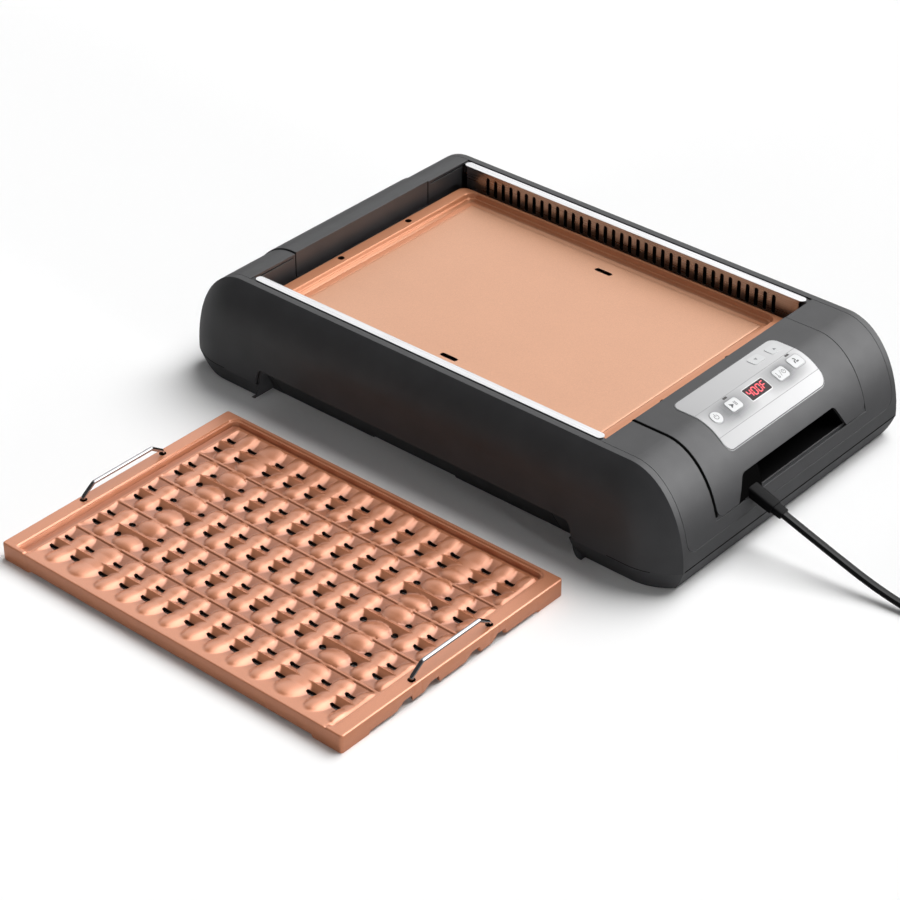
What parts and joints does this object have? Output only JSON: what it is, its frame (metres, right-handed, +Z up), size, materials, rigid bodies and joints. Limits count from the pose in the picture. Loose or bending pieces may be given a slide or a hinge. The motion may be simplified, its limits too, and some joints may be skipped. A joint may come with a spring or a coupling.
{
  "type": "smokeless indoor grill",
  "caption": "Electric tabletop grill: bowed housing, griddle in its well, control panel and display, pull-out drip tray, and an embossed grill plate with wire handles beside it.",
  "frame": {"origin": "under the middle of the whole set, at table level, without the mains cord", "axes": "+X to the control end, +Y to the rear, +Z up; the grill plate lies in front, toward -Y"},
  "size_m": [0.8741, 0.6414, 0.1059],
  "materials": {
    "black_plastic": "satin charcoal-black moulded plastic",
    "silver_overlay": "printed silver film with a brushed middle band",
    "display_glass": "dark tinted window",
    "display_body": "black digit module",
    "circuit_board": "green board, satin",
    "lens": "clear white lens",
    "stainless": "bright polished stainless steel",
    "aluminised_sheet": "dull aluminised steel sheet",
    "element_sheath": "dark oxidised steel sheath",
    "ceramic_block": "heat-proof moulded block",
    "inner_plastic": "black heat-proof plastic",
    "motor_can": "zinc-plated can",
    "rubber": "black rubber",
    "screw_steel": "zinc-plated steel",
    "cord_jacket": "black cord jacket, satin",
    "copper_griddle": "copper-coloured non-stick coating, low sheen",
    "copper_grill": "copper-coloured non-stick coating, satin",
    "chrome_wire": "bright chromed wire",
    "key_plastic": "gloss black key with a pale icon"
  },
  "bodies": {
    "body": {"base_housing": "black_plastic", "side_housing": "black_plastic", "top_housing": "black_plastic", "control_pod": "black_plastic", "handle_cover": "black_plastic", "control_overlay": "silver_overlay", "display_window": "display_glass", "display_module": "display_body", "control_board": "circuit_board", "indicator_lenses": "lens", "front_vent_panel": "stainless", "rear_vent_panel": "stainless", "heat_shield": "aluminised_sheet", "heating_element": "element_sheath", "element_brackets": "aluminised_sheet", "terminal_block": "ceramic_block", "temperature_sensor": "stainless", "fan_housing": "inner_plastic", "fan_motor": "motor_can", "power_board": "circuit_board", "rubber_feet": "rubber", "base_screws": "screw_steel", "strain_relief": "cord_jacket", "cord": "cord_jacket", "cord_coil": "cord_jacket", "cord_tail": "cord_jacket", "plug": "cord_jacket"},
    "tray": {"drip_tray": "black_plastic"},
    "griddle": {"griddle_plate": "copper_griddle"},
    "grill": {"grill_plate": "copper_grill"},
    "left_handle": {"left_wire_handle": "chrome_wire"},
    "right_handle": {"right_wire_handle": "chrome_wire"},
    "impeller": {"fan_impeller": "inner_plastic"},
    "power_key": {"power_button": "key_plastic"},
    "start_pause_key": {"start_pause_button": "key_plastic"},
    "temp_timer_key": {"temp_timer_button": "key_plastic"},
    "fan_key": {"fan_button": "key_plastic"},
    "down_key": {"down_button": "key_plastic"},
    "up_key": {"up_button": "key_plastic"}
  },
  "joints": [
    {"name": "tray_slide", "type": "slide", "parent": "body", "child": "tray", "axis": [0, -1, 0], "range_m": [0, 0.055]},
    {"name": "griddle_lift", "type": "slide", "parent": "body", "child": "griddle", "axis": [0, 0, 1], "range_m": [0, 0.15]},
    {"name": "grill_lift", "type": "slide", "parent": "body", "child": "grill", "axis": [0, 0, 1], "range_m": [0, 0.15]},
    {"name": "left_handle_turn", "type": "hinge", "parent": "grill", "child": "left_handle", "pos_m": [-0.16725, -0.1922, 0.0148], "axis": [0, 1, 0], "range_deg": [-12, 12]},
    {"name": "right_handle_turn", "type": "hinge", "parent": "grill", "child": "right_handle", "pos_m": [0.19155, -0.1922, 0.0148], "axis": [0, 1, 0], "range_deg": [-12, 12]},
    {"name": "fan_spin", "type": "hinge", "parent": "body", "child": "impeller", "pos_m": [0.22175, 0.1492, 0.02], "axis": [0, 0, 1], "continuous": true},
    {"name": "power_press", "type": "slide", "parent": "body", "child": "power_key", "axis": [-0.3408, 0, -0.9402], "range_m": [0, 0.0005], "stiffness_N_per_m": 800},
    {"name": "start_pause_press", "type": "slide", "parent": "body", "child": "start_pause_key", "axis": [-0.324, 0, -0.9461], "range_m": [0, 0.0005], "stiffness_N_per_m": 800},
    {"name": "temp_timer_press", "type": "slide", "parent": "body", "child": "temp_timer_key", "axis": [-0.3502, 0, -0.9367], "range_m": [0, 0.0005], "stiffness_N_per_m": 800},
    {"name": "fan_press", "type": "slide", "parent": "body", "child": "fan_key", "axis": [-0.3144, 0, -0.9493], "range_m": [0, 0.0005], "stiffness_N_per_m": 800},
    {"name": "down_press", "type": "slide", "parent": "body", "child": "down_key", "axis": [0, 0, -1], "range_m": [0, 0.0005], "stiffness_N_per_m": 800},
    {"name": "up_press", "type": "slide", "parent": "body", "child": "up_key", "axis": [0, 0, -1], "range_m": [0, 0.0005], "stiffness_N_per_m": 800}
  ]
}
